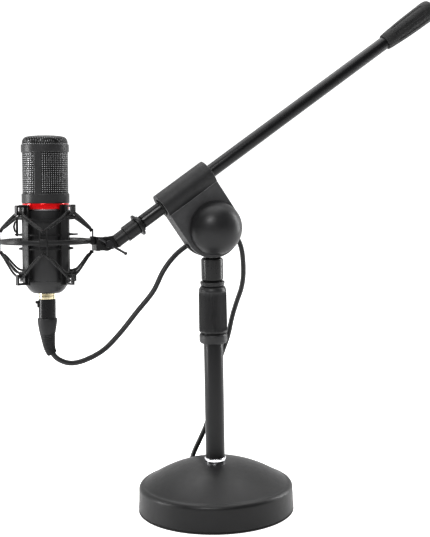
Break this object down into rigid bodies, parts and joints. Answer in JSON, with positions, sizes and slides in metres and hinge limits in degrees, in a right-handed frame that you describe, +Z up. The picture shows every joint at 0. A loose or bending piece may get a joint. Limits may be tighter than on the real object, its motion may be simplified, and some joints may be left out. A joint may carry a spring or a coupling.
{
  "type": "boom microphone stand",
  "caption": "Desk-top stand with a domed weighted base, telescoping pole, tilting boom clamp and spider shock mount that holds a side-address microphone with its lead.",
  "frame": {"origin": "centre of the base's flat underside, on the table", "axes": "+Z up along the pole; +X from the microphone towards the boom's grip; the boom and its clamp lie in the XZ plane and the ball knob faces -Y"},
  "size_m": [0.553, 0.257, 0.6141],
  "materials": {
    "casting_black": "matte black powder coat over a casting",
    "pad_rubber": "matte black rubber rim",
    "zinc_steel": "bright zinc plated steel",
    "chrome_trim": "polished chrome",
    "tube_black": "satin black paint on steel tube",
    "clutch_black": "satin black paint",
    "nylon_natural": "natural nylon",
    "friction_fibre": "brown friction fibre",
    "knob_plastic": "satin black moulded plastic",
    "brass_insert": "turned brass",
    "grip_rubber": "black rubber with a fine texture",
    "mount_plastic": "black moulded nylon",
    "tee_steel": "dark plated steel",
    "elastic_fabric": "black braided elastic",
    "pad_foam": "dense black foam",
    "wire_black": "black coated spring wire",
    "mic_black": "satin black lacquer",
    "red_anodised": "glossy red anodised band",
    "trim_silver": "bright plated trim",
    "grille_mesh": "black plated wire mesh",
    "capsule_gold": "gold plated metal",
    "inner_plastic": "black plastic",
    "board_green": "green circuit board laminate",
    "plug_black": "black plated plug shell",
    "lead_jacket": "smooth black cable jacket",
    "tie_red": "woven hook and loop strap"
  },
  "bodies": {
    "stand": {"base_casting": "casting_black", "base_pad": "pad_rubber", "foot_stud": "zinc_steel", "base_washer": "zinc_steel", "base_nut": "zinc_steel", "foot_ring": "chrome_trim", "pole_tube": "tube_black", "clutch_body": "clutch_black", "clutch_collet": "nylon_natural", "lead_drop": "lead_jacket", "lead_coil": "lead_jacket", "lead_tail": "lead_jacket", "lead_tie": "tie_red", "end_boot": "grip_rubber", "end_barrel": "plug_black", "end_pin": "brass_insert"},
    "height_clutch": {"clutch_grip": "clutch_black"},
    "riser": {"riser_tube": "tube_black", "riser_bush": "nylon_natural"},
    "jam_ring": {"lock_ring": "clutch_black"},
    "head": {"head_socket": "casting_black", "friction_washers": "friction_fibre"},
    "clamp": {"clamp_front": "casting_black", "clamp_rear": "casting_black", "pivot_bolt": "zinc_steel", "pivot_washer": "zinc_steel", "lead_swag": "lead_jacket"},
    "knob": {"ball_knob": "knob_plastic", "knob_insert": "brass_insert"},
    "liner": {"boom_liner": "inner_plastic"},
    "boom": {"boom_tube": "tube_black", "boom_grip": "grip_rubber", "boom_tip": "tee_steel", "swivel_arm": "mount_plastic"},
    "disc": {"lock_disc": "clutch_black"},
    "tee": {"tee_screw": "tee_steel", "tee_bar": "tee_steel"},
    "ring_mount": {"ring_knuckle": "mount_plastic", "shock_ring": "mount_plastic", "ring_clips": "mount_plastic", "elastic_cords": "elastic_fabric", "swivel_nut": "zinc_steel"},
    "cradle": {"cradle_frame": "mount_plastic", "cradle_pads": "pad_foam", "mic_body": "mic_black", "red_ring": "red_anodised", "trim_ring": "trim_silver", "head_frame": "mic_black", "grille_basket": "grille_mesh", "capsule": "capsule_gold", "capsule_post": "inner_plastic", "circuit_board": "board_green", "bottom_cup": "mic_black", "mic_connector": "capsule_gold", "connector_pins": "brass_insert", "plug_shell": "plug_black", "plug_insert": "inner_plastic", "plug_boot": "grip_rubber"},
    "squeeze": {"squeeze_loop": "wire_black"},
    "latch": {"plug_latch": "trim_silver"}
  },
  "joints": [
    {"name": "clutch_turn", "type": "hinge", "parent": "stand", "child": "height_clutch", "pos_m": [0, 0, 0.25], "axis": [0, 0, 1], "range_deg": [-120, 20]},
    {"name": "riser_slide", "type": "slide", "parent": "stand", "child": "riser", "axis": [0, 0, 1], "range_m": [0, 0.1], "deforming": ["lead_drop", "lead_swag"]},
    {"name": "jam_ring_turn", "type": "hinge", "parent": "riser", "child": "jam_ring", "pos_m": [0, 0, 0.28], "axis": [0, 0, 1], "range_deg": [-180, 180]},
    {"name": "head_pan", "type": "hinge", "parent": "riser", "child": "head", "pos_m": [0, 0, 0.29], "axis": [0, 0, 1], "range_deg": [-60, 60], "deforming": ["lead_drop", "lead_swag"]},
    {"name": "boom_tilt", "type": "hinge", "parent": "head", "child": "clamp", "pos_m": [0, 0, 0.348], "axis": [0, -1, 0], "range_deg": [-40, 30], "deforming": ["lead_drop", "lead_swag"]},
    {"name": "knob_turn", "type": "hinge", "parent": "clamp", "child": "knob", "pos_m": [0, -0.03, 0.348], "axis": [0, -1, 0], "range_deg": [-180, 180]},
    {"name": "boom_roll", "type": "hinge", "parent": "clamp", "child": "liner", "pos_m": [-0.03023, 0, 0.39455], "axis": [0.8387, 0, 0.5446], "range_deg": [-40, 40], "deforming": ["lead_drop", "lead_swag"]},
    {"name": "boom_slide", "type": "slide", "parent": "liner", "child": "boom", "axis": [0.8387, 0, 0.5446], "range_m": [-0.08, 0.028], "deforming": ["lead_drop", "lead_swag"]},
    {"name": "disc_turn", "type": "hinge", "parent": "boom", "child": "disc", "pos_m": [-0.09061, 0, 0.35533], "axis": [0.8387, 0, 0.5446], "range_deg": [-180, 180]},
    {"name": "mount_swivel", "type": "hinge", "parent": "boom", "child": "ring_mount", "pos_m": [-0.13017, 0.00043, 0.33546], "axis": [0.0475, 0.9962, -0.0731], "range_deg": [-50, 50], "deforming": ["lead_drop", "lead_swag"]},
    {"name": "tee_turn", "type": "hinge", "parent": "ring_mount", "child": "tee", "pos_m": [-0.13017, 0.00043, 0.33546], "axis": [-0.0475, -0.9962, 0.0731], "range_deg": [-100, 100]},
    {"name": "cradle_float", "type": "slide", "parent": "ring_mount", "child": "cradle", "axis": [0.0366, 0.0714, 0.9968], "range_m": [-0.005, 0.005], "stiffness_N_per_m": 2500, "springref_m": 0.0016, "deforming": ["elastic_cords", "lead_swag", "lead_drop"]},
    {"name": "squeeze_turn", "type": "hinge", "parent": "cradle", "child": "squeeze", "pos_m": [-0.23115, 0.01315, 0.34227], "axis": [0.0366, 0.0714, 0.9968], "range_deg": [-12, 12], "stiffness_Nm_per_rad": 0.05},
    {"name": "latch_press", "type": "slide", "parent": "cradle", "child": "latch", "axis": [0.9982, -0.05, -0.0331], "range_m": [0, 0.0012], "stiffness_N_per_m": 500, "springref_m": -0.0005}
  ]
}
